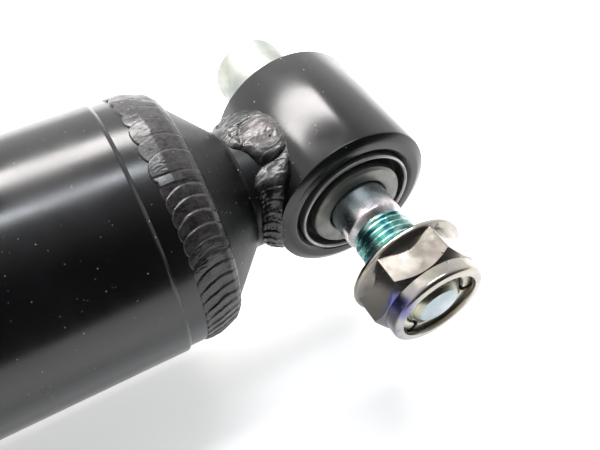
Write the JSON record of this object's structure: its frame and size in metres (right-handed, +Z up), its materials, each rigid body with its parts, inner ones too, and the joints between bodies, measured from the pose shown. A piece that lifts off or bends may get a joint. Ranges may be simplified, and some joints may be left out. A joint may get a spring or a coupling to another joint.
{
  "type": "motorcycle rear shock absorber",
  "caption": "Motorcycle rear monoshock: welded black steel gas damper with rubber-bushed eye and pivot bolt, coil spring, preload cam and clevis.",
  "frame": {"origin": "centre of the welded upper eye, on the pivot bolt's axis", "axes": "+X along the shock from the upper eye to the lower clevis, +Y along the pivot bolt towards its nut, +Z up as it lies on a bench"},
  "size_m": [0.3495, 0.0839, 0.083],
  "materials": {
    "body_paint": "satin black paint with dust specks",
    "weld_paint": "black paint over rippled weld metal",
    "bush_shell_steel": "bare steel, cut edge",
    "black_rubber": "moulded matte rubber",
    "sleeve_steel": "dull turned steel",
    "bolt_zinc": "zinc plated, thread with a rainbow tint",
    "nut_zinc": "bright zinc plated with a warm tint",
    "spring_steel": "blued spring steel",
    "plain_steel": "machined steel",
    "machined_aluminium": "turned, fine machining lines",
    "slide_band": "filled plastic bearing strip",
    "bush_bronze": "sintered bronze",
    "rod_chrome": "hard chrome, polished",
    "seat_paint": "satin black paint",
    "foam": "cellular foam, matte",
    "cast_aluminium": "bead blasted casting with machined faces",
    "adjuster_brass": "turned brass",
    "spring_paint": "satin pale grey powder coat",
    "nylon": "moulded nylon",
    "cam_steel": "zinc plated steel, dull"
  },
  "bodies": {
    "damper_body": {"eye_tube": "body_paint", "end_cap": "body_paint", "gas_plug": "plain_steel", "cap_weld": "weld_paint", "eye_weld": "weld_paint", "damper_tube": "body_paint", "bush_shell": "bush_shell_steel", "bush_rubber": "black_rubber", "rod_guide": "machined_aluminium", "guide_bush": "bush_bronze", "guide_o_ring": "black_rubber", "oil_seal": "black_rubber", "retaining_ring": "spring_steel", "dust_cap": "seat_paint", "wiper_seal": "black_rubber", "cam_lugs": "weld_paint"},
    "bush_sleeve": {"inner_sleeve": "sleeve_steel"},
    "pivot_bolt": {"pivot_bolt": "bolt_zinc"},
    "nut_lock_ring": {"nut_lock_ring": "spring_steel"},
    "flange_nut": {"flange_nut": "nut_zinc"},
    "floating_piston": {"floating_piston": "machined_aluminium", "floating_o_ring": "black_rubber", "floating_band": "slide_band"},
    "rod_assembly": {"main_piston": "machined_aluminium", "piston_band": "slide_band", "compression_shims": "spring_steel", "rebound_shims": "spring_steel", "piston_nut": "plain_steel", "topout_washer": "plain_steel", "topout_bumper": "black_rubber", "piston_rod": "rod_chrome", "bump_stop": "foam", "bump_washer": "plain_steel", "seat_stopper": "plain_steel", "lower_spring_seat": "seat_paint", "lower_clevis": "cast_aluminium"},
    "rebound_needle": {"rebound_needle": "plain_steel"},
    "rebound_adjuster": {"rebound_adjuster": "adjuster_brass", "adjuster_o_ring": "black_rubber"},
    "preload_seat": {"upper_spring_seat": "seat_paint", "seat_washer": "nylon", "coil_spring": "spring_paint"},
    "preload_cam": {"preload_cam": "cam_steel"}
  },
  "joints": [
    {"name": "rod_slide", "type": "slide", "parent": "damper_body", "child": "rod_assembly", "axis": [-1, 0, 0], "range_m": [0, 0.06], "stiffness_N_per_m": 90000, "springref_m": -0.001, "deforming": ["coil_spring"]},
    {"name": "gas_piston_slide", "type": "slide", "parent": "damper_body", "child": "floating_piston", "axis": [-1, 0, 0], "range_m": [0, 0.0056]},
    {"name": "preload_seat_slide", "type": "slide", "parent": "damper_body", "child": "preload_seat", "axis": [1, 0, 0], "range_m": [-0.00727, 0]},
    {"name": "preload_cam_turn", "type": "hinge", "parent": "preload_seat", "child": "preload_cam", "pos_m": [0.108, 0, 0], "axis": [1, 0, 0], "range_deg": [-152, 0]},
    {"name": "bush_twist", "type": "hinge", "parent": "damper_body", "child": "bush_sleeve", "pos_m": [0, 0, 0], "axis": [0, 1, 0], "range_deg": [-15, 15], "stiffness_Nm_per_rad": 60},
    {"name": "bolt_slide", "type": "slide", "parent": "bush_sleeve", "child": "pivot_bolt", "axis": [0, 1, 0], "range_m": [-0.007, 0]},
    {"name": "nut_travel", "type": "slide", "parent": "pivot_bolt", "child": "nut_lock_ring", "axis": [0, 1, 0], "range_m": [-0.0085, 0.011]},
    {"name": "nut_spin", "type": "hinge", "parent": "nut_lock_ring", "child": "flange_nut", "pos_m": [0, 0.037, 0], "axis": [0, 1, 0], "range_deg": [-2475, 3200]},
    {"name": "adjuster_turn", "type": "hinge", "parent": "rod_assembly", "child": "rebound_adjuster", "pos_m": [0.3, 0, 0.012], "axis": [0, 0, 1], "range_deg": [-455, 455]},
    {"name": "needle_slide", "type": "slide", "parent": "rod_assembly", "child": "rebound_needle", "axis": [1, 0, 0], "range_m": [-0.00075, 0.00075]}
  ],
  "couplings": [
    {"joint": "gas_piston_slide", "follows": "rod_slide", "ratio": 0.092628},
    {"joint": "preload_cam_turn", "follows": "preload_seat_slide", "rad_per_m": 359.97},
    {"joint": "nut_spin", "follows": "nut_travel", "rad_per_m": 5026.6},
    {"joint": "adjuster_turn", "follows": "needle_slide", "rad_per_m": 10472}
  ]
}
